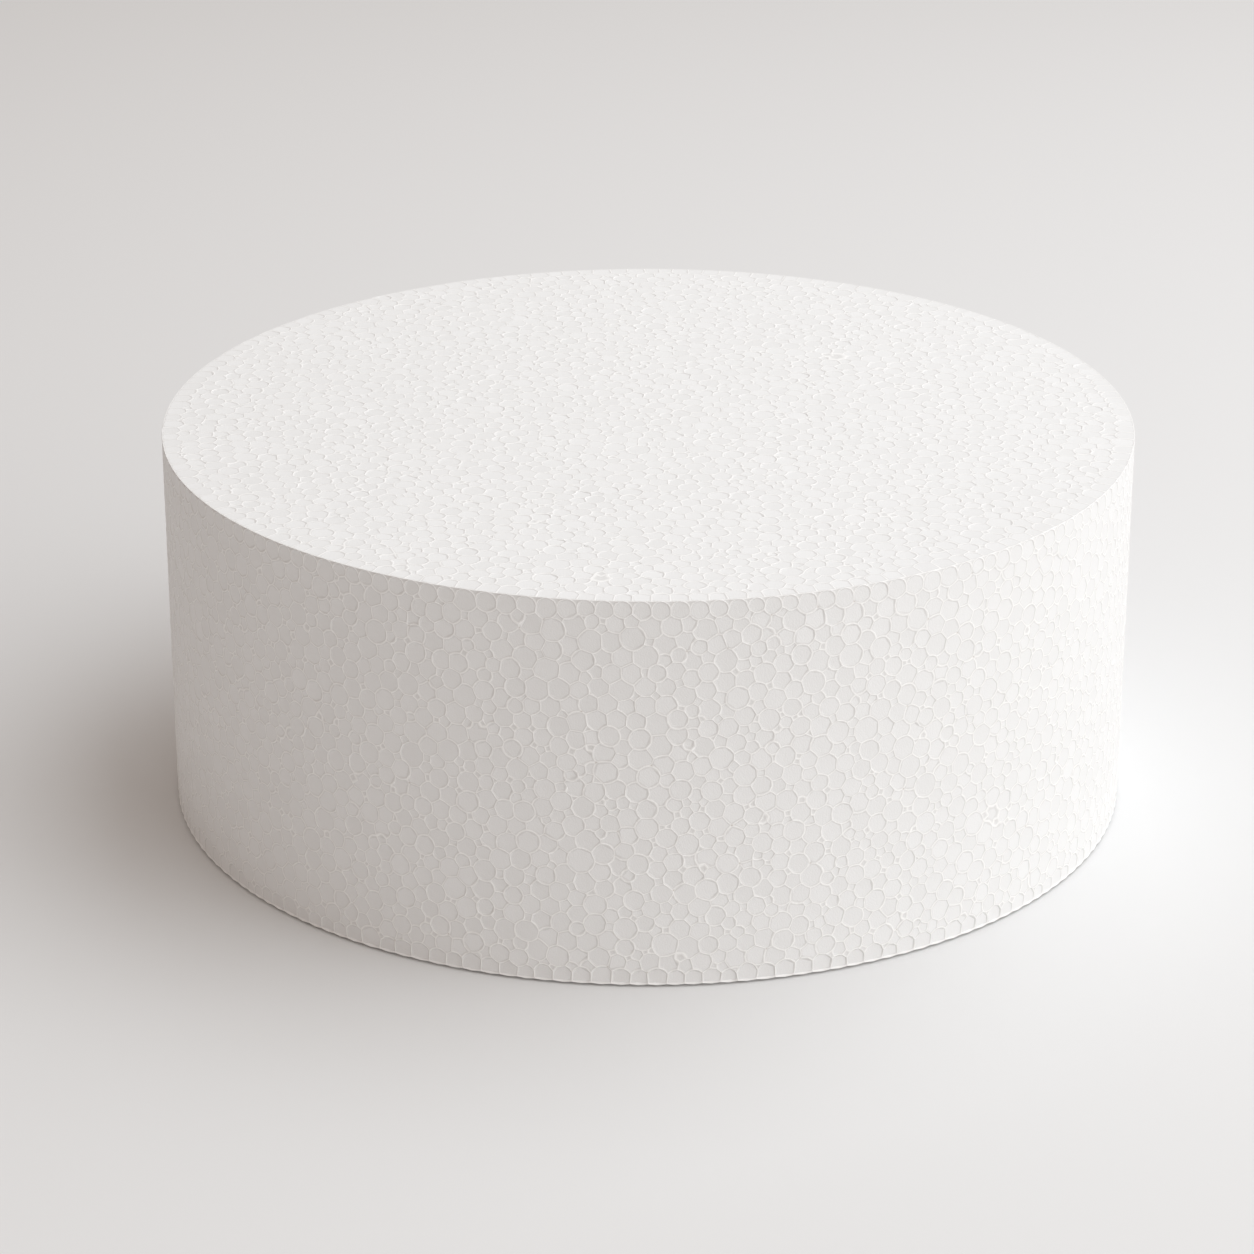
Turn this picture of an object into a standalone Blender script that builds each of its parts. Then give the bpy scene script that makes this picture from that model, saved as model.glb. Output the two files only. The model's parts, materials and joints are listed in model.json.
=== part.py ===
"""A round cake dummy: one plain drum of moulded expanded polystyrene.

The drum stands on its flat base, with the middle of the base at the origin
and +Z up. Its two rims are rounded only as much as the mould rounds them.
"""

import math

import bmesh
import bpy
from mathutils import Matrix

# Driving dimensions, in metres.
DIAMETER = 0.2540
HEIGHT = 0.1016
TOP_EDGE_RADIUS = 0.0006
BASE_EDGE_RADIUS = 0.0006

# Fineness of the round shapes.
SIDE_FACETS = 256
EDGE_STEPS = 4
SHARP_ANGLE = math.radians(40)

# White expanded polystyrene: linear colour, matt with a faint skin sheen.
FOAM_COLOR = (0.83, 0.81, 0.785, 1.0)
FOAM_ROUGHNESS = 0.6
FOAM_METALLIC = 0.0


def clear_scene():
    for obj in list(bpy.data.objects):
        bpy.data.objects.remove(obj, do_unlink=True)


def foam_material():
    material = bpy.data.materials.new("white_foam")
    material.use_nodes = True
    shader = material.node_tree.nodes["Principled BSDF"]
    shader.inputs["Base Color"].default_value = FOAM_COLOR
    shader.inputs["Roughness"].default_value = FOAM_ROUGHNESS
    shader.inputs["Metallic"].default_value = FOAM_METALLIC
    return material


def rim_edges(mesh, height):
    """The edges of the circle that lies at this height."""
    tolerance = HEIGHT / 1000
    return [
        edge
        for edge in mesh.edges
        if all(abs(vertex.co.z - height) < tolerance for vertex in edge.verts)
    ]


def round_rim(mesh, height, radius):
    bmesh.ops.bevel(
        mesh,
        geom=rim_edges(mesh, height),
        offset=radius,
        offset_type="OFFSET",
        segments=EDGE_STEPS,
        profile=0.5,
        affect="EDGES",
    )


def make_drum():
    """The whole dummy, moulded as one solid."""
    mesh = bmesh.new()
    bmesh.ops.create_cone(
        mesh,
        cap_ends=True,
        cap_tris=False,
        segments=SIDE_FACETS,
        radius1=DIAMETER / 2,
        radius2=DIAMETER / 2,
        depth=HEIGHT,
        matrix=Matrix.Translation((0, 0, HEIGHT / 2)),
    )
    round_rim(mesh, HEIGHT, TOP_EDGE_RADIUS)
    round_rim(mesh, 0, BASE_EDGE_RADIUS)
    bmesh.ops.recalc_face_normals(mesh, faces=mesh.faces)

    data = bpy.data.meshes.new("cake_dummy")
    mesh.to_mesh(data)
    mesh.free()
    data.materials.append(foam_material())
    data.shade_smooth()
    data.set_sharp_from_angle(angle=SHARP_ANGLE)

    drum = bpy.data.objects.new("cake_dummy", data)
    bpy.context.scene.collection.objects.link(drum)


clear_scene()
make_drum()
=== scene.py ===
"""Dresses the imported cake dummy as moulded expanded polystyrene.

The drum becomes one closed mesh of foam beads, pressed flat against the
mould. Beads are packed on the side, the top and the base, and each gets the
cell that it fills between its neighbours. A cell holds a flat plate, sunk a
little below the surface, and a wall that climbs from it to the ridges that
the cell shares with its neighbours. The cells of the base and the smallest
cells are plain shallow funnels. Lengths in the bead code are in millimetres.
"""
import json
import math

import bmesh
import bpy
import numpy as np
from mathutils import Euler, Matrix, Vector
from mathutils.kdtree import KDTree

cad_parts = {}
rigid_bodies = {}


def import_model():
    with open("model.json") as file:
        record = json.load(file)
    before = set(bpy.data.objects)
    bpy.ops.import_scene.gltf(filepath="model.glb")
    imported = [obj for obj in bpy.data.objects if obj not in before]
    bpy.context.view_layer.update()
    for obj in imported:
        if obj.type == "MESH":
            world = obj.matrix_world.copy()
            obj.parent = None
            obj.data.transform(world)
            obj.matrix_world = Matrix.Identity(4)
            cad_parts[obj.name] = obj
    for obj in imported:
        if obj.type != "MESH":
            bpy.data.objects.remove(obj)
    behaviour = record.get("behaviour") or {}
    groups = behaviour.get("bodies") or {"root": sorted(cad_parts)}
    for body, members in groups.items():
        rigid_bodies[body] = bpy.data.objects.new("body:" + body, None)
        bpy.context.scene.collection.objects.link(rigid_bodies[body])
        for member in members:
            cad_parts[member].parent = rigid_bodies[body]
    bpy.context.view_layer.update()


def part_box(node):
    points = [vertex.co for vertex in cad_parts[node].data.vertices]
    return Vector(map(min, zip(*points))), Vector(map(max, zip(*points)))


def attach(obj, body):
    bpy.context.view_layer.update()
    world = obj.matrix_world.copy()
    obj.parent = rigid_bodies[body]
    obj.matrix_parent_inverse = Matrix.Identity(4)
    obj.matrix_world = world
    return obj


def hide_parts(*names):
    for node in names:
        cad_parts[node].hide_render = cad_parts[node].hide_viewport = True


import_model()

NODE = "cake_dummy"
MM = 0.001
LOW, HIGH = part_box(NODE)
RADIUS = (HIGH[0] - LOW[0]) / 2 / MM
HEIGHT = (HIGH[2] - LOW[2]) / MM
GIRTH = 2 * math.pi * RADIUS

SEED = 28
TINY, LEAST_GAP = 1e-9, 1e-6

# Radii of the beads where they press on the mould. FREE_FILL is the share of a sheet
# that beads cover before small ones go into the gaps, each a little too large.
LARGE_SHARE, LARGE_RADIUS, LARGE_SPREAD = 0.74, 2.48, 0.22
MEDIUM_RADIUS, MEDIUM_SPREAD = 1.72, 0.22
RIM_RADIUS, RIM_SPREAD, SMALLEST_RIM = 2.36, 0.24, 1.6
SMALLEST, LARGEST = 0.62, 3.2
FREE_FILL = 0.87
GAP_SQUEEZE = 1.15

# How the beads are spread and settle. EVEN_STEPS fills a square without clusters, and
# free beads stay clear of the rims by both their middle and their edge.
EVEN_STEPS, SCATTER = (0.7548776662, 0.5698402910), 0.8
GROWING_STEPS, SETTLING_STEPS, CLOSING_STEPS = 80, 60, 30
START_SIZE, PUSH = 0.6, 0.8
STEPS_PER_SEARCH, SEARCH_MARGIN = 5, 0.6
RIM_CLEAR_DEPTH, RIM_CLEARANCE = 3.4, 1.0

# Cells: how far neighbours are looked for, and which corners become one.
CELL_MARGIN = 4
SHORTEST_EDGE, TOUCHING = 0.6, 0.02

# Kinds of mesh points: on a ridge, or on a plate.
SEAM, PLATE = 0, 1

# Ridges: how deep they lie at most, and from which length on they bow round the harder
# bead. A pit starts where the gap between round beads has the first width of PIT_GAPS,
# and is full at the second.
CREST_DEPTH = 0.04
BOWED_EDGE = 2.1
HARDNESS_SPREAD, RIM_HARDNESS = 0.8, 1.5
PIT_DEPTH = 0.2
PIT_GAPS = {"side": (0.3, 0.5), "top": (0.45, 0.75), "base": (0.3, 0.5)}

# Plates: how deep they lie, how far they keep clear of their cell's edges, and how
# their corners are cut to a circle. RELIEF scales all depths of a sheet.
RELIEF = {"side": 1.0, "top": 0.84, "base": 1.0}
PLATE_DEPTH, PLATE_SPREAD, SMALL_PLATE_DEPTH = 0.122, 0.03, 0.045
SHALLOWEST_PLATE, TILT = 0.06, 0.015
WALL, WALL_SHARE, ROUND_SHARE = 0.33, 0.3, 0.35
CUT_CORNER, DEEPEST_CUT = 1.34, 0.7
LEAST_TURN, DEEPEST_INSET = 0.2, 0.6
SHORTEST_PLATE_EDGE = 0.1

# Where a wall would fold over, the plate becomes a plain copy of the cell at one of
# these shares. LEAST_CROSS is twice the area that a wall's triangle has at least, by
# the kind of its second corner. Cells of less reach than FAN_REACH become funnels.
PLAIN_PLATES = (0.85, 0.75, 0.65, 0.55, 0.45)
LEAST_CROSS = {"corner": 0.02, "bow": 0.02, "plate": 0.0}
FAN_REACH = 1.0

# Rims: each pair is how far a point is set back, inwards and along the axis. The top
# rim's round beads touch at a contact, and fillers lie between them and the rim.
RIM_CRESTS = {"top": (0.1, 0.1), "base": (0.0, 0.5)}
RIM_NOTCHES = {"top": (0.13, 0.13), "base": (0.16, 0.64)}
RIM_WALLS = {"top": 0.3, "base": 0.5}
RIM_DEPTHS = {"top": 0.0, "base": 0.16}
CONTACT_SHARE = 0.7
ARC_SHARES = (0.25, 0.5, 0.75)
FILLER_DEPTH, FILLER_MIDDLE = 0.07, 0.23

# Looks. A spread is where a tint starts or ends on the way from ridge (0) to plate (1).
FOAM_LIGHT, FOAM_DARK, TONE_RANGE = (0.865, 0.866, 0.866), (0.84, 0.84, 0.838), 2
# The foot of each wall gets painted shade, where wall and plate meet.
WALL_SHADE_COLOR, WALL_SHADE_SPREAD = (0.778, 0.774, 0.767), 0.8
# Ridges are tinted paler: partly the denser skin where beads fuse, partly a painted highlight.
# The bottom edge above the floor gets the same tint as a painted highlight.
SKIN_AND_HIGHLIGHT_COLOR, CREST_SKIN_AND_HIGHLIGHT_SPREAD = (0.968, 0.965, 0.958), 0.6
# A painted highlight on the bottom edge: full below the first height and gone at the second,
# in metres.
LIP_HIGHLIGHT_LOW, LIP_HIGHLIGHT_HIGH = 0.000935, 0.0011
# Painted shade in the pits between beads, strongest in the most open ones.
PIT_SHADE_COLOR, PIT_SHADE_TINT, PIT_SHADE_START = (0.54, 0.5, 0.46), 0.8, 0.6
GRAIN_SCALE, GRAIN_DETAIL, GRAIN_HEIGHT = 2600, 2, 0.00005
GRAIN_RANGE, ROUGHNESS_RANGE = (0.3, 0.7), (0.52, 0.64)
DISH_DEPTH, DISH_POWER = 0.00004, 2
SPECULAR = 0.3
FLOOR_COLOR, FLOOR_ROUGHNESS = (0.79, 0.79, 0.79), 0.9
FLOOR_RADIUS, FLOOR_SEGMENTS, FLOOR_GAP = 4.0, 96, 0.0001
FAR_COLOR = (0.72, 0.69, 0.66)

# Light and view, in metres. A lamp's way is its azimuth and elevation in degrees.
AMBIENT, AMBIENT_COLOR = 0.367, (1.147, 1.0, 0.902)
KEY_WAY, KEY_DISTANCE, KEY_SIZE = (8, 62), 1.35, (1.95, 1.2)
KEY_POWER, KEY_COLOR = 15.9, (0.939, 1.0, 1.046)
FILL_WAY, FILL_DISTANCE, FILL_SIZE = (-30, 12), 2.4, (3.28, 1.9)
FILL_POWER, FILL_COLOR = 28.6, (0.982, 1.0, 1.001)
CAMERA_PLACE = (0.0, -1.00782, 0.46521)
CAMERA_PITCH, CAMERA_YAW = 0.397828, 0.005485
CAMERA_LENS, SENSOR_WIDTH = 117.02, 36


def draw_radii(rng, count):
    """Radii of free beads, in the mix of sizes that the surface shows."""
    radii = np.where(
        rng.random(count) < LARGE_SHARE,
        rng.normal(LARGE_RADIUS, LARGE_SPREAD, count),
        rng.normal(MEDIUM_RADIUS, MEDIUM_SPREAD, count),
    )
    return np.clip(radii, SMALLEST, LARGEST)


def draw_rim(rng):
    """A closed chain of touching beads along a rim: (angle, radius) of each."""
    count = round(GIRTH / (2 * RIM_RADIUS))
    radii = np.clip(rng.normal(RIM_RADIUS, RIM_SPREAD, count), SMALLEST_RIM, LARGEST)
    steps = 2 * np.sqrt(radii * np.roll(radii, -1))
    scale = GIRTH / steps.sum()
    angles = np.concatenate([[0.0], np.cumsum(steps * scale)[:-1]]) / RADIUS
    return angles, radii * scale


def spread_evenly(rng, count):
    """Points that fill the unit square about evenly, in no order that shows."""
    steps = np.arange(count)[:, None] * EVEN_STEPS
    points = (steps + rng.random((count, 2)) * SCATTER / math.sqrt(count)) % 1
    return points.T


class Side:
    """The straight wall, unrolled: x runs round it and y up it."""

    name = "side"
    area = GIRTH * HEIGHT

    def __init__(self, top_rim, base_rim):
        self.rims = [("base", base_rim), ("top", top_rim)]

    def rim_start(self, name):
        """The index of the first bead of the named rim."""
        return 0 if name == "base" else len(self.rims[0][1][0])

    def fixed(self):
        """The rims' beads, which don't move: x, y and radius of each."""
        base, top = (rim for _, rim in self.rims)
        x = np.concatenate([base[0], top[0]]) * RADIUS
        y = np.concatenate([base[1], HEIGHT - top[1]])
        return x, y, np.concatenate([base[1], top[1]])

    def scatter(self, rng, count):
        along, up = spread_evenly(rng, count)
        return along * GIRTH, up * HEIGHT

    def across(self, dx):
        """A step in x, taken the shorter way round."""
        return dx - GIRTH * np.round(dx / GIRTH)

    def confine(self, x, y, r):
        """The places of free beads, kept clear of the rims."""
        edge = np.maximum(r + RIM_CLEARANCE, RIM_CLEAR_DEPTH)
        return x % GIRTH, np.clip(y, edge, HEIGHT - edge)

    def copies(self, x, reach):
        """Shifts at which a bead also shows, because the wall closes on itself."""
        if x < reach:
            return (0.0, GIRTH)
        if x > GIRTH - reach:
            return (0.0, -GIRTH)
        return (0.0,)

    def rim_spot(self, name, angle, inset):
        """Where a point of a rim lies on this sheet."""
        return angle * RADIUS, HEIGHT - inset[1] if name == "top" else inset[1]

    def place(self, x, y, depth):
        """Where a point of the sheet lies on the drum, sunk by depth."""
        angle = x / RADIUS
        r = RADIUS - depth
        return r * math.cos(angle), r * math.sin(angle), y


class Face:
    """A round face, seen from above: the top, or the base. Its methods are Side's."""

    area = math.pi * RADIUS**2

    def __init__(self, name, rim):
        self.name = name
        self.rims = [(name, rim)]

    def rim_start(self, name):
        return 0

    def fixed(self):
        angles, radii = self.rims[0][1]
        out = RADIUS - radii
        return out * np.cos(angles), out * np.sin(angles), radii

    def scatter(self, rng, count):
        along, out = spread_evenly(rng, count)
        angle = along * 2 * math.pi
        out = RADIUS * np.sqrt(out)
        return out * np.cos(angle), out * np.sin(angle)

    def across(self, dx):
        return dx

    def confine(self, x, y, r):
        out = np.hypot(x, y)
        most = RADIUS - np.maximum(r + RIM_CLEARANCE, RIM_CLEAR_DEPTH)
        shrink = np.minimum(1.0, most / np.maximum(out, TINY))
        return x * shrink, y * shrink

    def copies(self, x, reach):
        return (0.0,)

    def rim_spot(self, name, angle, inset):
        out = RADIUS - inset[0]
        return out * math.cos(angle), out * math.sin(angle)

    def place(self, x, y, depth):
        return x, y, HEIGHT - depth if self.name == "top" else depth


def near_pairs(sheet, x, y, reach):
    """Pairs of beads whose middles lie within reach, as two index arrays."""
    spots = [
        (i, x[i] + shift, y[i])
        for i in range(len(x))
        for shift in sheet.copies(x[i], reach)
    ]
    tree = KDTree(len(spots))
    for i, sx, sy in spots:
        tree.insert((sx, sy, 0), i)
    tree.balance()
    pairs = [
        (i, j)
        for i in range(len(x))
        for _, j, _ in tree.find_range((x[i], y[i], 0), reach)
        if j > i
    ]
    return np.array(pairs).T


def settle(sheet, x, y, r, rim_count, sizes):
    """Pushes overlapping beads apart, one step for each entry of sizes.

    An entry is the share of their full size that free beads have at that step.
    """
    free = np.arange(len(x)) >= rim_count
    for step, grown in enumerate(sizes):
        size = np.where(free, r * grown, r)
        if step % STEPS_PER_SEARCH == 0:
            i, j = near_pairs(sheet, x, y, 2 * LARGEST + SEARCH_MARGIN)
        dx, dy = sheet.across(x[j] - x[i]), y[j] - y[i]
        gap = np.maximum(np.hypot(dx, dy), LEAST_GAP)
        push = PUSH * np.maximum(size[i] + size[j] - gap, 0) / gap
        give_i = np.where(free[i], size[j] ** 2, 0.0)
        give_j = np.where(free[j], size[i] ** 2, 0.0)
        total = np.maximum(give_i + give_j, TINY)
        share_i, share_j = push * give_i / total, push * give_j / total
        moved = [
            np.bincount(j, share_j * way, len(x)) - np.bincount(i, share_i * way, len(x))
            for way in (dx, dy)
        ]
        nx, ny = sheet.confine(x + moved[0], y + moved[1], r)
        x, y = np.where(free, nx, x), np.where(free, ny, y)
    return x, y


def fill_gaps(sheet, x, y, r, rim_count):
    """Adds a small bead in each gap that is wide enough to hold one."""
    spots = []
    for a, (corners, labels) in enumerate(cells(sheet, x, y, r, rim_count)):
        for k, (cx, cy) in enumerate(corners):
            at_rim = isinstance(labels[k], str) or isinstance(labels[k - 1], str)
            gap = math.hypot(cx, cy) - r[a]
            if gap > SMALLEST and not at_rim:
                spots.append((gap, x[a] + cx, y[a] + cy))
    spots.sort(reverse=True)
    added = np.zeros((0, 3))
    for gap, sx, sy in spots:
        away = np.hypot(sheet.across(added[:, 1] - sx), added[:, 2] - sy)
        if (away > gap + added[:, 0]).all():
            added = np.vstack([added, (gap, sx, sy)])
    radii = np.minimum(added[:, 0] * GAP_SQUEEZE, LARGEST)
    return np.append(x, added[:, 1]), np.append(y, added[:, 2]), np.append(r, radii)


def pack(sheet, rng):
    """Beads of a sheet: x, y, radii, and how many of the first ones are its rims'."""
    x, y, r = sheet.fixed()
    rim_count = len(x)
    free_area = FREE_FILL * sheet.area - math.pi * (r**2).sum()
    radii = draw_radii(rng, int(sheet.area / SMALLEST))
    radii = radii[np.cumsum(math.pi * radii**2) < free_area]
    fx, fy = sheet.scatter(rng, len(radii))
    x, y, r = (np.concatenate(ends) for ends in ((x, fx), (y, fy), (r, radii)))
    growing = np.linspace(START_SIZE, 1, GROWING_STEPS)
    sizes = np.concatenate([growing, np.ones(SETTLING_STEPS)])
    x, y = settle(sheet, x, y, r, rim_count, sizes)
    x, y, r = fill_gaps(sheet, x, y, r, rim_count)
    x, y = settle(sheet, x, y, r, rim_count, np.ones(CLOSING_STEPS))
    return x, y, r, rim_count


def clip(corners, labels, nx, ny, limit, label):
    """Cuts a convex cell by the half plane nx*x + ny*y <= limit.

    labels[k] names what lies across the edge from corner k to corner k + 1.
    """
    heights = [nx * x + ny * y - limit for x, y in corners]
    if max(heights) <= 0:
        return corners, labels
    kept, kept_labels = [], []
    count = len(corners)
    for k in range(count):
        n = (k + 1) % count
        here, there = heights[k], heights[n]
        if here <= 0:
            kept.append(corners[k])
            kept_labels.append(labels[k])
        if (here <= 0) != (there <= 0):
            t = here / (here - there)
            (ax, ay), (bx, by) = corners[k], corners[n]
            kept.append((ax + t * (bx - ax), ay + t * (by - ay)))
            kept_labels.append(labels[k] if here > 0 else label)
    return kept, kept_labels


def rim_lines(sheet, x, y, rim_count):
    """For each rim bead, the half plane that its rim bounds, and the rim's name."""
    if isinstance(sheet, Face):
        out = np.hypot(x[:rim_count], y[:rim_count])
        return [
            (x[i] / out[i], y[i] / out[i], RADIUS - out[i], sheet.name)
            for i in range(rim_count)
        ]
    base_count = len(sheet.rims[0][1][0])
    return [
        (0.0, -1.0, y[i], "base") if i < base_count else (0.0, 1.0, HEIGHT - y[i], "top")
        for i in range(rim_count)
    ]


def cells(sheet, x, y, r, rim_count):
    """Each bead's cell: its corners, from its own middle, and what is across each edge.

    The border between two beads is where both circles have the same power,
    so a large bead takes more of the gap than a small one.
    """
    reach = 2 * LARGEST + CELL_MARGIN
    i, j = near_pairs(sheet, x, y, reach)
    near = [[] for _ in x]
    for a, b in zip(i.tolist(), j.tolist()):
        near[a].append(b)
        near[b].append(a)
    lines = rim_lines(sheet, x, y, rim_count)
    found = []
    for a, around in enumerate(near):
        corners = [(-reach, -reach), (reach, -reach), (reach, reach), (-reach, reach)]
        labels = [None] * 4
        steps = [(sheet.across(x[b] - x[a]), y[b] - y[a], b) for b in around]
        steps.sort(key=lambda step: step[0] ** 2 + step[1] ** 2)
        for dx, dy, b in steps:
            limit = (dx * dx + dy * dy + r[a] ** 2 - r[b] ** 2) / 2
            corners, labels = clip(corners, labels, dx, dy, limit, b)
            if not corners:
                break
        if corners and a < rim_count:
            nx, ny, limit, rim = lines[a]
            corners, labels = clip(corners, labels, nx, ny, limit, rim)
        found.append((corners, labels))
    return found


class Rim:
    """A rim's chain of beads, and the points where it is notched between them."""

    def __init__(self, name, angles):
        self.name = name
        step = (np.roll(angles, -1) - angles) % (2 * math.pi)
        self.ends = angles + step / 2
        self.angles = angles
        self.tangents = {}

    def notch_angle(self, a, b):
        """The angle midway between neighbouring beads a and b."""
        last = len(self.ends) - 1
        first = last if {a, b} == {0, last} else min(a, b)
        return self.ends[first]

    def place(self, angle, inset):
        """A point of the rim, set back by inset: inwards, and along the axis."""
        r = RADIUS - inset[0]
        z = HEIGHT - inset[1] if self.name == "top" else inset[1]
        return r * math.cos(angle), r * math.sin(angle), z

    def tangent(self, foam, bead):
        """The mesh point where a bead of the rim touches its line."""
        if bead not in self.tangents:
            place = self.place(self.angles[bead], RIM_CRESTS[self.name])
            self.tangents[bead] = foam.point(place, SEAM)
        return self.tangents[bead]


class Corners:
    """The corners where cells meet, each named by the beads around it.

    Corners joined by a very short edge become one.
    """

    def __init__(self):
        self.parent, self.spots = {}, {}

    def add(self, key, spot):
        """Notes a corner and its spot, unless it is known."""
        self.parent.setdefault(key, key)
        self.spots.setdefault(key, spot)

    def root(self, key):
        """The corner that stands for all those joined with this one."""
        while self.parent[key] != key:
            key = self.parent[key]
        return key

    def join_touching(self, sheet):
        """Joins corners of a sheet that lie on each other but were named differently."""
        keys = [key for key in self.spots if key[0] == sheet.name]
        tree = KDTree(len(keys))
        for i, key in enumerate(keys):
            tree.insert((*self.spots[key], 0), i)
        tree.balance()
        for key in keys:
            for _, i, _ in tree.find_range((*self.spots[key], 0), TOUCHING):
                self.join(key, keys[i])

    def join(self, a, b):
        """Makes two corners one. A rim's corner stays, because both its sheets use it."""
        a, b = self.root(a), self.root(b)
        if a != b:
            keep, drop = (b, a) if b[0] == "rim" else (a, b)
            self.parent[drop] = keep


def corner_key(sheet, bead, before, after):
    """The name of a bead's corner between its edges to before and after."""
    for rim, other in ((before, after), (after, before)):
        if isinstance(rim, str):
            first = sheet.rim_start(rim)
            return ("rim", rim, *sorted((bead - first, other - first)))
    return (sheet.name, *sorted((bead, before, after)))


def name_corners(corners, sheet, beads, polygons):
    """Names all corners of a sheet's cells, joins near ones, and gives each cell's loop."""
    x, y = beads[:2]
    loops = []
    for a, (outline, labels) in enumerate(polygons):
        keys = [corner_key(sheet, a, labels[k - 1], labels[k]) for k in range(len(outline))]
        for key, (cx, cy) in zip(keys, outline):
            corners.add(key, (x[a] + cx, y[a] + cy))
        for k, key in enumerate(keys):
            if math.dist(outline[k - 1], outline[k]) < SHORTEST_EDGE:
                corners.join(keys[k - 1], key)
        loops.append(keys)
    corners.join_touching(sheet)
    whole = []
    for keys in loops:
        roots = [corners.root(key) for key in keys]
        whole.append([root for k, root in enumerate(roots) if root != roots[k - 1]])
    return whole


class Foam:
    """Collects the drum's mesh, in millimetres, and what its material reads from it."""

    def __init__(self):
        self.points, self.kinds, self.pits = [], [], []
        self.faces, self.tones, self.spots = [], [], []

    def point(self, place, kind, pit=0.0):
        """Adds a mesh point and gives its number."""
        self.points.append(place)
        self.kinds.append(kind)
        self.pits.append(pit)
        return len(self.points) - 1

    def face(self, ids, spots, tone, flip):
        """Adds a face. spots are its corners from its bead's middle, in bead radii."""
        way = -1 if flip else 1
        self.faces.append(ids[::way])
        self.spots.extend(spots[::way])
        self.tones.append(tone)


class Plates:
    """How a sheet's plates lie, and how hard their beads press on their neighbours."""

    def __init__(self, rng, sheet, radii, rim_count):
        count, relief = len(radii), RELIEF[sheet.name]
        at_rim = np.arange(count) < rim_count
        small = np.clip(1 - radii / LARGE_RADIUS, 0, 1)
        depth = rng.normal(PLATE_DEPTH, PLATE_SPREAD, count) + SMALL_PLATE_DEPTH * small
        depth = np.maximum(depth, SHALLOWEST_PLATE)
        for name, rim in sheet.rims:
            first = sheet.rim_start(name)
            depth[first : first + len(rim[0])] += RIM_DEPTHS[name]
        self.depth = relief * depth
        self.tilt = rng.normal(0, relief * TILT, (count, 2))
        self.tone = rng.normal(0, 1, count)
        self.hardness = rng.normal(0, HARDNESS_SPREAD, count) - small
        self.hardness[at_rim] = RIM_HARDNESS

    def at(self, bead, dx, dy):
        """The plate's depth at a point that lies dx, dy from its bead's middle."""
        slope = self.tilt[bead, 0] * dx + self.tilt[bead, 1] * dy
        return max(0.0, self.depth[bead] + slope)


def area_and_middle(outline):
    """The area and the centroid of a polygon."""
    area, middle = 0.0, Vector((0, 0))
    for k, here in enumerate(outline):
        before = outline[k - 1]
        cross = before.cross(here)
        area += cross / 2
        middle += (before + here) * cross
    return area, middle / (6 * area)


def inset_corner(corner, before, after, gap_before, gap_after):
    """Where two edges that meet at a corner cross once both have moved inwards."""
    turn = before.cross(after)
    if turn < LEAST_TURN:
        return corner + (before + after).normalized() * max(gap_before, gap_after)
    step = Vector((after.y, -after.x)) * gap_before - Vector((before.y, -before.x)) * gap_after
    return corner + step / turn


def cut_towards(start, target, radius):
    """The first point from start towards target that lies within radius of the origin."""
    way = target - start
    a, b, c = way.dot(way), 2 * start.dot(way), start.dot(start) - radius * radius
    inside = b * b - 4 * a * c
    if a == 0 or inside < 0:
        return start.lerp(target, DEEPEST_CUT)
    share = (-b - math.sqrt(inside)) / (2 * a)
    return start.lerp(target, min(max(share, 0.0), DEEPEST_CUT))


def plate_outline(outline, roles, bows, middle, reach):
    """A cell's plate: a list of one or two points for each corner of the cell.

    The plate keeps clear of the cell's edges, also where they bow into it, and
    stays within a circle. roles[k] is the name of the rim that corner k lies
    on, or "seam" inside the sheet.
    """
    gap = min(WALL, WALL_SHARE * reach)
    radius = reach - ROUND_SHARE * gap
    outline = [corner - middle for corner in outline]
    count = len(outline)
    ways, inward, gaps = [], [], []
    for k in range(count):
        n = (k + 1) % count
        along = (outline[n] - outline[k]).normalized()
        ways.append(along)
        inward.append(Vector((-along.y, along.x)))
        dents = [inward[k].dot(spot - middle - outline[k]) for spot, _ in bows[k]]
        wall = RIM_WALLS.get(roles[k], gap) if roles[k] == roles[n] else gap
        gaps.append(wall + max([0.0, *dents]))
    inner = []
    for k, corner in enumerate(outline):
        point = inset_corner(corner, inward[k - 1], inward[k], gaps[k - 1], gaps[k])
        if (point - corner).length > DEEPEST_INSET * corner.length:
            point = corner * (1 - DEEPEST_INSET)
        inner.append(point)
    for k in range(count):
        n = (k + 1) % count
        if (inner[n] - inner[k]).dot(ways[k]) < SHORTEST_PLATE_EDGE:
            half, mid = ways[k] * SHORTEST_PLATE_EDGE / 2, (inner[k] + inner[n]) / 2
            inner[k], inner[n] = mid - half, mid + half
    plate = []
    for k, corner in enumerate(outline):
        n = (k + 1) % count
        point = inner[k]
        if roles[k] == "seam" and point.length > CUT_CORNER * radius:
            points = [
                cut_towards(point, (inner[k - 1] + point) / 2, radius),
                cut_towards(point, (inner[n] + point) / 2, radius),
            ]
        elif point.length > radius:
            points = [point * (radius / point.length)]
        else:
            points = [point]
        plate.append([point + middle for point in points])
    return plate


def wall_triangles(bows, plate):
    """The triangles of the wall round a plate. Each corner is (ring, k, place at k)."""
    for k, here_plate in enumerate(plate):
        n = (k + 1) % len(plate)
        here, last = ("corner", k, 0), ("plate", k, len(here_plate) - 1)
        if len(here_plate) == 2:
            yield here, last, ("plate", k, 0)
        for i in range(len(bows[k])):
            yield here, ("bow", k, i), last
            here = ("bow", k, i)
        yield here, ("corner", n, 0), ("plate", n, 0)
        yield here, ("plate", n, 0), last


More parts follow.
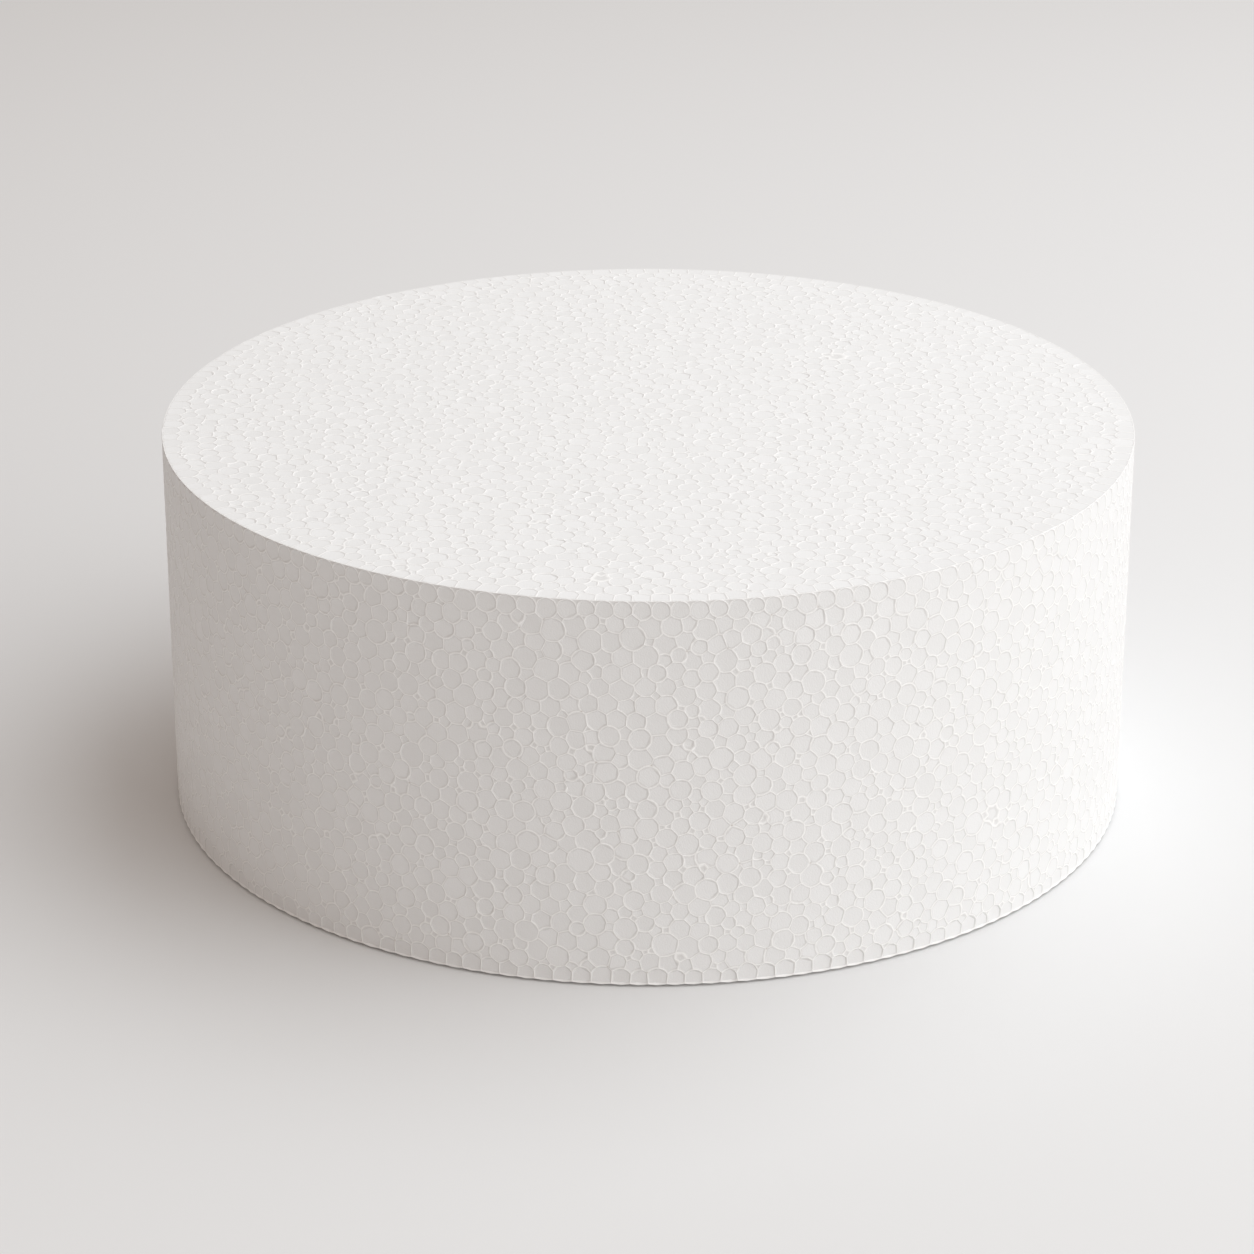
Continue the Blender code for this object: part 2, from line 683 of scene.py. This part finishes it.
def wall_stands(outline, bows, plate):
    """Whether no triangle of the wall round a plate is folded over or next to nothing."""
    spots = {}
    for k, row in enumerate(plate):
        spots["corner", k, 0] = outline[k]
        spots.update({("bow", k, i): at for i, (at, _) in enumerate(bows[k])})
        spots.update({("plate", k, i): at for i, at in enumerate(row)})
    return all(
        (spots[b] - spots[a]).cross(spots[c] - spots[a]) > LEAST_CROSS[b[0]]
        for a, b, c in wall_triangles(bows, plate)
    )


def fitting_plate(outline, roles, bows, middle, reach):
    """A cell's plate, or a plainer and smaller one where its wall would fold over."""
    plates = [plate_outline(outline, roles, bows, middle, reach)]
    for share in PLAIN_PLATES:
        plates.append([[middle.lerp(corner, share)] for corner in outline])
    return next((plate for plate in plates if wall_stands(outline, bows, plate)), None)


class Network:
    """The ridges of one sheet: the points where they meet, and where they bow."""

    def __init__(self, foam, sheet, rims, beads, plates, loops, corners, ids, rng):
        self.foam, self.sheet, self.rims = foam, sheet, rims
        self.beads, self.plates, self.loops = beads, plates, loops
        self.ids, self.spots, self.bows = ids, {}, {}
        self.contacts, self.arcs = {}, {}
        self.add_corners(corners, rng)
        if sheet.name == "side":
            self.add_contacts(rng)
        if sheet.name != "base":
            self.add_bows(rng)

    def crest(self, rng):
        """How deep a point of a ridge lies."""
        return RELIEF[self.sheet.name] * CREST_DEPTH * rng.random()

    def add_corners(self, corners, rng):
        """Makes the mesh point of each corner, in the middle of those joined in it."""
        x, y, r = self.beads
        members, around = {}, {}
        for key in corners.parent:
            if key[0] == self.sheet.name:
                members.setdefault(corners.root(key), []).append(corners.spots[key])
        for a, loop in enumerate(self.loops):
            for root in loop:
                around.setdefault(root, []).append(a)
        pits = {}
        for root, near in around.items():
            if root[0] == "rim":
                self.add_rim_corner(root)
                continue
            first = members[root][0]
            steps = [
                (self.sheet.across(spot[0] - first[0]), spot[1] - first[1])
                for spot in members[root]
            ]
            sx, sy = (first[i] + sum(step[i] for step in steps) / len(steps) for i in (0, 1))
            gap = min(
                math.hypot(self.sheet.across(sx - x[a]), sy - y[a]) - r[a] for a in near
            )
            self.spots[root] = (sx, sy)
            low, high = PIT_GAPS[self.sheet.name]
            pits[root] = min(max((gap - low) / (high - low), 0.0), 1.0)
        self.part_pits(pits)
        for root, pit in pits.items():
            depth = self.crest(rng) + RELIEF[self.sheet.name] * PIT_DEPTH * pit
            place = self.sheet.place(*self.spots[root], depth)
            self.ids[root] = self.foam.point(place, SEAM, pit)

    def part_pits(self, pits):
        """Closes the lesser of two pits at the ends of one ridge, so that none joins up."""
        for loop in self.loops:
            for ends in zip(loop, loop[1:] + loop[:1]):
                if all(pits.get(end, 0.0) > 0 for end in ends):
                    pits[min(ends, key=lambda end: (pits[end], end))] = 0.0

    def add_rim_corner(self, root):
        """Makes the mesh point of a notch between two beads of a rim, once for both sheets."""
        rim = self.rims[root[1]]
        angle = rim.notch_angle(*root[2:])
        inset = RIM_NOTCHES[rim.name]
        self.spots[root] = self.sheet.rim_spot(rim.name, angle, inset)
        if root not in self.ids:
            self.ids[root] = self.foam.point(rim.place(angle, inset), SEAM)

    def add_contacts(self, rng):
        """Ends the ridges between the top rim's beads where the round beads touch."""
        for loop in self.loops:
            for k, root in enumerate(loop):
                if root[:2] != ("rim", "top") or root in self.contacts:
                    continue
                below = next(
                    other
                    for other in (loop[k - 1], loop[(k + 1) % len(loop)])
                    if other[0] != "rim"
                )
                room = HEIGHT - self.spots[below][1]
                y = HEIGHT - min(RIM_RADIUS, CONTACT_SHARE * room)
                x = self.spots[root][0]
                self.contacts[root] = (x, y), self.foam.point(
                    self.sheet.place(x, y, self.crest(rng)), SEAM
                )
        self.spots.update({root: spot for root, (spot, _) in self.contacts.items()})

    def arc(self, bead, root):
        """Points from a top rim bead's contact at root to where it touches the rim."""
        if (bead, root) not in self.arcs:
            rim = self.rims["top"]
            number = bead - self.sheet.rim_start("top")
            x, y = self.contacts[root][0]
            middle, top = self.sheet.rim_spot("top", rim.angles[number], RIM_CRESTS["top"])
            wide, high = self.sheet.across(x - middle), top - y
            found = []
            for share in ARC_SHARES:
                turn = share * math.pi / 2
                spot = (middle + wide * math.cos(turn), y + high * math.sin(turn))
                found.append((spot, self.foam.point(self.sheet.place(*spot, 0.0), SEAM)))
            found.append(((middle, top), rim.tangent(self.foam, number)))
            self.arcs[bead, root] = found
        return self.arcs[bead, root]

    def build_fillers(self):
        """The small fields between the top rim's round beads and the rim."""
        first = self.sheet.rim_start("top")
        count = len(self.rims["top"].angles)
        for root, (contact, point) in self.contacts.items():
            low, high = sorted(root[2:])
            left, right = (high, low) if (low, high) == (0, count - 1) else (low, high)
            up = self.arc(first + right, root)
            down = self.arc(first + left, root)
            rim_spot = (contact[0], HEIGHT - RIM_NOTCHES["top"][1])
            loop = [(contact, point), *up, (rim_spot, self.ids[root]), *down[::-1]]
            middle = (contact[0], HEIGHT - FILLER_MIDDLE * (HEIGHT - contact[1]))
            x, y = middle
            low_point = self.foam.point(self.sheet.place(x, y, FILLER_DEPTH), PLATE)
            rim = [
                (name, (self.sheet.across(spot[0] - x), spot[1] - y)) for spot, name in loop
            ]
            for k, corner in enumerate(rim):
                self.add_face(first + left, [rim[k - 1], corner, (low_point, (0.0, 0.0))])

    def add_bows(self, rng):
        """Bows each long ridge round the harder of its two beads."""
        owners = {}
        for a, loop in enumerate(self.loops):
            for k, root in enumerate(loop):
                edge = tuple(sorted((loop[k - 1], root)))
                owners.setdefault(edge, []).append(a)
        for (start, end), pair in owners.items():
            x, y = self.spots[start]
            dx, dy = self.sheet.across(self.spots[end][0] - x), self.spots[end][1] - y
            length = math.hypot(dx, dy)
            if length < BOWED_EDGE or len(pair) < 2:
                continue
            a, b = sorted(pair, key=lambda bead: -self.plates.hardness[bead])
            share = min(self.plates.hardness[a] - self.plates.hardness[b], 1.0)
            sagitta = share * length**2 / (8 * self.beads[2][a])
            out = Vector((dy, -dx)) / length
            mx, my = x + dx / 2, y + dy / 2
            from_a = Vector((self.sheet.across(mx - self.beads[0][a]), my - self.beads[1][a]))
            out *= math.copysign(sagitta, from_a.dot(out))
            spot = (mx + out.x, my + out.y)
            point = self.foam.point(self.sheet.place(*spot, self.crest(rng)), SEAM)
            self.bows[start, end] = (spot, point)

    def cell(self, bead):
        """A cell's corners from its bead's middle, with their roles and mesh points.

        Also gives the bows after each corner, as (spot, point). Between two
        contacts, bows and corners take turns along the bead's two arcs.
        """
        x, y = self.beads[0][bead], self.beads[1][bead]
        outline, roles, points, bows = [], [], [], []

        def local(spot):
            return Vector((self.sheet.across(spot[0] - x), spot[1] - y))

        def put(spot, role, point):
            outline.append(local(spot))
            roles.append(role)
            points.append(point)
            bows.append([])

        loop = self.loops[bead]
        for k, root in enumerate(loop):
            following = loop[(k + 1) % len(loop)]
            if root in self.contacts:
                put(self.spots[root], "seam", self.contacts[root][1])
            else:
                put(self.spots[root], root[1] if root[0] == "rim" else "seam", self.ids[root])
            if root in self.contacts and following in self.contacts:
                path = [*self.arc(bead, root), *self.arc(bead, following)[-2::-1]]
                for step, (spot, point) in enumerate(path):
                    if step % 2:
                        put(spot, "seam", point)
                    else:
                        bows[-1].append((local(spot), point))
            elif root[0] == "rim" and following[0] == "rim":
                rim = self.rims[root[1]]
                number = bead - self.sheet.rim_start(rim.name)
                angle, inset = rim.angles[number], RIM_CRESTS[rim.name]
                spot = self.sheet.rim_spot(rim.name, angle, inset)
                put(spot, rim.name, rim.tangent(self.foam, number))
            edge = tuple(sorted((root, following)))
            if edge in self.bows:
                spot, point = self.bows[edge]
                bows[-1].append((local(spot), point))
        return outline, roles, points, bows

    def build_bead(self, bead):
        """Builds a cell as a plate with its wall or, where that doesn't fit, as a funnel."""
        outline, roles, points, bows = self.cell(bead)
        area, middle = area_and_middle(outline)
        reach = math.sqrt(area / math.pi)
        base = self.sheet.name == "base"
        plate = None
        if not base and reach > FAN_REACH:
            plate = fitting_plate(outline, roles, bows, middle, reach)
        if plate:
            self.build_plate(bead, outline, points, bows, plate, middle, reach)
        else:
            self.build_fan(bead, outline, points, bows, middle, reach, base)

    def build_fan(self, bead, outline, points, bows, middle, reach, flip):
        """A shallow funnel over the whole cell."""
        x, y = self.beads[0][bead] + middle.x, self.beads[1][bead] + middle.y
        depth = self.plates.depth[bead]
        low = (self.foam.point(self.sheet.place(x, y, depth), PLATE), (0.0, 0.0))
        rim = []
        for corner, point, bow in zip(outline, points, bows):
            for at, name in [(corner, point), *bow]:
                rim.append((name, tuple((at - middle) / reach)))
        for k, corner in enumerate(rim):
            self.add_face(bead, [rim[k - 1], corner, low], flip)

    def build_plate(self, bead, outline, points, bows, plate, middle, reach):
        """A flat plate, and the wall from it up to the ridges around its cell."""
        x, y = self.beads[0][bead], self.beads[1][bead]

        def spot(at):
            return tuple((at - middle) / reach)

        made, ring = {}, []
        for k, row in enumerate(plate):
            made["corner", k, 0] = (points[k], spot(outline[k]))
            for i, (at, point) in enumerate(bows[k]):
                made["bow", k, i] = (point, spot(at))
            for i, at in enumerate(row):
                place = self.sheet.place(x + at.x, y + at.y, self.plates.at(bead, at.x, at.y))
                made["plate", k, i] = (self.foam.point(place, PLATE), spot(at))
                ring.append(made["plate", k, i])
        self.add_face(bead, ring)
        for triangle in wall_triangles(bows, plate):
            self.add_face(bead, [made[corner] for corner in triangle])

    def add_face(self, bead, corners, flip=False):
        """Adds a face of a bead. Each corner is (mesh point, spot)."""
        ids, spots = [corner[0] for corner in corners], [corner[1] for corner in corners]
        self.foam.face(ids, spots, self.plates.tone[bead], flip)


def build_foam():
    """Packs the beads of the side, the top and the base, and builds them all."""
    rng = np.random.default_rng(SEED)
    chains = {"top": draw_rim(rng), "base": draw_rim(rng)}
    rims = {name: Rim(name, chain[0]) for name, chain in chains.items()}
    sheets = [
        Side(chains["top"], chains["base"]),
        Face("top", chains["top"]),
        Face("base", chains["base"]),
    ]
    foam, corners, ids = Foam(), Corners(), {}
    for sheet in sheets:
        x, y, r, rim_count = pack(sheet, rng)
        beads = (x, y, r)
        plates = Plates(rng, sheet, r, rim_count)
        polygons = cells(sheet, x, y, r, rim_count)
        loops = name_corners(corners, sheet, beads, polygons)
        network = Network(foam, sheet, rims, beads, plates, loops, corners, ids, rng)
        for bead, loop in enumerate(loops):
            if len(loop) > 2:
                network.build_bead(bead)
        network.build_fillers()
    return foam


def foam_mesh(foam):
    """The Blender mesh. Its edges are sharp round the plates and along the ridges."""
    mesh = bpy.data.meshes.new("foam_drum")
    points = np.array(foam.points) * MM
    mesh.from_pydata(points.tolist(), [], foam.faces)
    mesh.shade_smooth()
    kinds = np.array(foam.kinds)
    ends = np.empty(len(mesh.edges) * 2, dtype=np.int32)
    mesh.edges.foreach_get("vertices", ends)
    ends = kinds[ends.reshape(-1, 2)]
    sharp = mesh.attributes.new("sharp_edge", "BOOLEAN", "EDGE")
    sharp.data.foreach_set("value", ends[:, 0] == ends[:, 1])
    layers = [
        ("plate", "FLOAT", "POINT", kinds.astype(np.float32)),
        ("pit", "FLOAT", "POINT", np.array(foam.pits, dtype=np.float32)),
        ("tone", "FLOAT", "FACE", np.array(foam.tones, dtype=np.float32)),
    ]
    for name, kind, domain, values in layers:
        layer = mesh.attributes.new(name, kind, domain)
        layer.data.foreach_set("value", values)
    spots = mesh.attributes.new("bead", "FLOAT2", "CORNER")
    spots.data.foreach_set("vector", np.array(foam.spots, dtype=np.float32).ravel())
    mesh.update()
    return mesh


def new_material(name):
    """A material of its own with a Principled BSDF: (material, nodes, links, shader)."""
    material = bpy.data.materials.new(name)
    material.use_nodes = True
    tree = material.node_tree
    return material, tree.nodes, tree.links, tree.nodes["Principled BSDF"]


def attribute(nodes, name):
    """A node that reads one of the mesh's attributes."""
    node = nodes.new("ShaderNodeAttribute")
    node.attribute_name = name
    return node


def ramp(nodes, links, value, low, high, to_low, to_high):
    """Maps value from the range low to high onto to_low to to_high, easing at both ends."""
    node = nodes.new("ShaderNodeMapRange")
    node.interpolation_type = "SMOOTHSTEP"
    links.new(value, node.inputs["Value"])
    settings = {"From Min": low, "From Max": high, "To Min": to_low, "To Max": to_high}
    for name, number in settings.items():
        node.inputs[name].default_value = number
    return node.outputs["Result"]


def tinted(nodes, links, color, tint, factor):
    """Colour mixed towards tint by factor. color is a socket or a plain colour."""
    node = nodes.new("ShaderNodeMix")
    node.data_type = "RGBA"
    links.new(factor, node.inputs["Factor"])
    if isinstance(color, tuple):
        node.inputs[6].default_value = (*color, 1)
    else:
        links.new(color, node.inputs[6])
    node.inputs[7].default_value = (*tint, 1)
    return node.outputs[2]


def noise(nodes, links, place, scale, detail):
    """Noise through the drum, at scale cells for each metre."""
    node = nodes.new("ShaderNodeTexNoise")
    node.inputs["Scale"].default_value = scale
    node.inputs["Detail"].default_value = detail
    links.new(place, node.inputs["Vector"])
    return node.outputs["Fac"]


def bump(nodes, links, height, distance, below=None):
    """A normal that shows height as relief, on top of the normal below."""
    node = nodes.new("ShaderNodeBump")
    node.inputs["Distance"].default_value = distance
    links.new(height, node.inputs["Height"])
    if below is not None:
        links.new(below, node.inputs["Normal"])
    return node.outputs["Normal"]


def foam_material():
    """White moulded foam: matt, palest on its ridges and dark only in its small pits.

    The colour starts as the bead's own tone. The foot of each wall gets painted shade,
    the ridges a paler tint that is partly denser skin and partly painted highlight,
    the bottom edge above the floor a painted highlight, and the pits painted shade last.
    """
    material, nodes, links, shader = new_material("moulded_foam")
    plate = attribute(nodes, "plate").outputs["Fac"]
    pit = attribute(nodes, "pit").outputs["Fac"]
    tone = attribute(nodes, "tone").outputs["Fac"]
    place = nodes.new("ShaderNodeTexCoord").outputs["Object"]
    split = nodes.new("ShaderNodeSeparateXYZ")
    links.new(place, split.inputs[0])
    light = ramp(nodes, links, tone, -TONE_RANGE, TONE_RANGE, 0, 1)
    color = tinted(nodes, links, FOAM_DARK, FOAM_LIGHT, light)
    # Painted shade at the foot of each wall.
    wall = ramp(nodes, links, plate, WALL_SHADE_SPREAD, 1, 1, 0)
    color = tinted(nodes, links, color, WALL_SHADE_COLOR, wall)
    # Paler ridges: partly denser bead skin, partly painted highlight.
    crest = ramp(nodes, links, plate, 0, CREST_SKIN_AND_HIGHLIGHT_SPREAD, 1, 0)
    color = tinted(nodes, links, color, SKIN_AND_HIGHLIGHT_COLOR, crest)
    # Painted highlight on the bottom edge just above the floor.
    lip_highlight = ramp(nodes, links, split.outputs["Z"], LIP_HIGHLIGHT_LOW, LIP_HIGHLIGHT_HIGH, 1, 0)
    color = tinted(nodes, links, color, SKIN_AND_HIGHLIGHT_COLOR, lip_highlight)
    # Painted shade in the pits.
    pit_shade = ramp(nodes, links, pit, PIT_SHADE_START, 1, 0, PIT_SHADE_TINT)
    color = tinted(nodes, links, color, PIT_SHADE_COLOR, pit_shade)
    links.new(color, shader.inputs["Base Color"])
    grain = noise(nodes, links, place, GRAIN_SCALE, GRAIN_DETAIL)
    roughness = ramp(nodes, links, grain, *GRAIN_RANGE, *ROUGHNESS_RANGE)
    links.new(roughness, shader.inputs["Roughness"])
    reach = nodes.new("ShaderNodeVectorMath")
    reach.operation = "LENGTH"
    links.new(attribute(nodes, "bead").outputs["Vector"], reach.inputs[0])
    dish = nodes.new("ShaderNodeMath")
    dish.operation = "POWER"
    links.new(reach.outputs["Value"], dish.inputs[0])
    dish.inputs[1].default_value = DISH_POWER
    dished = bump(nodes, links, dish.outputs[0], DISH_DEPTH)
    links.new(bump(nodes, links, grain, GRAIN_HEIGHT, dished), shader.inputs["Normal"])
    shader.inputs["Specular IOR Level"].default_value = SPECULAR
    return material


def add_floor():
    """A plain pale disc, a hair below the drum."""
    material, *_, shader = new_material("pale_floor")
    shader.inputs["Base Color"].default_value = (*FLOOR_COLOR, 1)
    shader.inputs["Roughness"].default_value = FLOOR_ROUGHNESS
    shader.inputs["Specular IOR Level"].default_value = 0.0
    bm = bmesh.new()
    bmesh.ops.create_circle(bm, cap_ends=True, segments=FLOOR_SEGMENTS, radius=FLOOR_RADIUS)
    mesh = bpy.data.meshes.new("floor")
    bm.to_mesh(mesh)
    bm.free()
    mesh.materials.append(material)
    floor = bpy.data.objects.new("floor", mesh)
    bpy.context.scene.collection.objects.link(floor)
    floor.location.z = -FLOOR_GAP


def add_world():
    """Even, slightly warm light from all around, and a pale tone where the floor ends.

    The camera, reflections and anything clear see the pale tone.
    """
    world = bpy.data.worlds.new("studio")
    bpy.context.scene.world = world
    world.use_nodes = True
    nodes, links = world.node_tree.nodes, world.node_tree.links
    light = nodes["Background"]
    light.inputs["Color"].default_value = (*AMBIENT_COLOR, 1)
    light.inputs["Strength"].default_value = AMBIENT
    seen = nodes.new("ShaderNodeBackground")
    seen.inputs["Color"].default_value = (*FAR_COLOR, 1)
    rays = nodes.new("ShaderNodeLightPath")
    shown = rays.outputs["Is Camera Ray"]
    for kind in ("Is Glossy Ray", "Is Transmission Ray"):
        either = nodes.new("ShaderNodeMath")
        either.operation = "MAXIMUM"
        links.new(shown, either.inputs[0])
        links.new(rays.outputs[kind], either.inputs[1])
        shown = either.outputs[0]
    mix = nodes.new("ShaderNodeMixShader")
    links.new(shown, mix.inputs[0])
    links.new(light.outputs[0], mix.inputs[1])
    links.new(seen.outputs[0], mix.inputs[2])
    links.new(mix.outputs[0], nodes["World Output"].inputs["Surface"])


def add_softbox(name, way, distance, size, power, color):
    """A large soft lamp, turned towards the middle of the drum."""
    lamp = bpy.data.lights.new(name, "AREA")
    lamp.shape = "RECTANGLE"
    lamp.size, lamp.size_y = size
    lamp.energy = power
    lamp.color = color
    azimuth, elevation = (math.radians(angle) for angle in way)
    out = Vector((
        math.cos(azimuth) * math.cos(elevation),
        math.sin(azimuth) * math.cos(elevation),
        math.sin(elevation),
    ))
    softbox = bpy.data.objects.new(name, lamp)
    softbox.location = Vector((0, 0, HEIGHT / 2 * MM)) + out * distance
    softbox.rotation_euler = out.to_track_quat("Z", "Y").to_euler()
    bpy.context.scene.collection.objects.link(softbox)


def add_camera():
    """The photo's view, from a camera fitted to the drum's outline."""
    camera = bpy.data.cameras.new("camera")
    camera.lens, camera.sensor_width = CAMERA_LENS, SENSOR_WIDTH
    view = bpy.data.objects.new("camera", camera)
    view.location = CAMERA_PLACE
    view.rotation_euler = Euler((math.pi / 2 - CAMERA_PITCH, 0, CAMERA_YAW))
    bpy.context.scene.collection.objects.link(view)
    bpy.context.scene.camera = view


def add_drum():
    """The one visible piece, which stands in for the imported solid."""
    mesh = foam_mesh(build_foam())
    mesh.materials.append(foam_material())
    drum = bpy.data.objects.new("foam_drum", mesh)
    bpy.context.scene.collection.objects.link(drum)
    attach(drum, "root")
    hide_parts(NODE)


add_drum()
add_floor()
add_world()
add_softbox("key", KEY_WAY, KEY_DISTANCE, KEY_SIZE, KEY_POWER, KEY_COLOR)
add_softbox("fill", FILL_WAY, FILL_DISTANCE, FILL_SIZE, FILL_POWER, FILL_COLOR)
add_camera()
bpy.context.scene.view_settings.view_transform = "Standard"
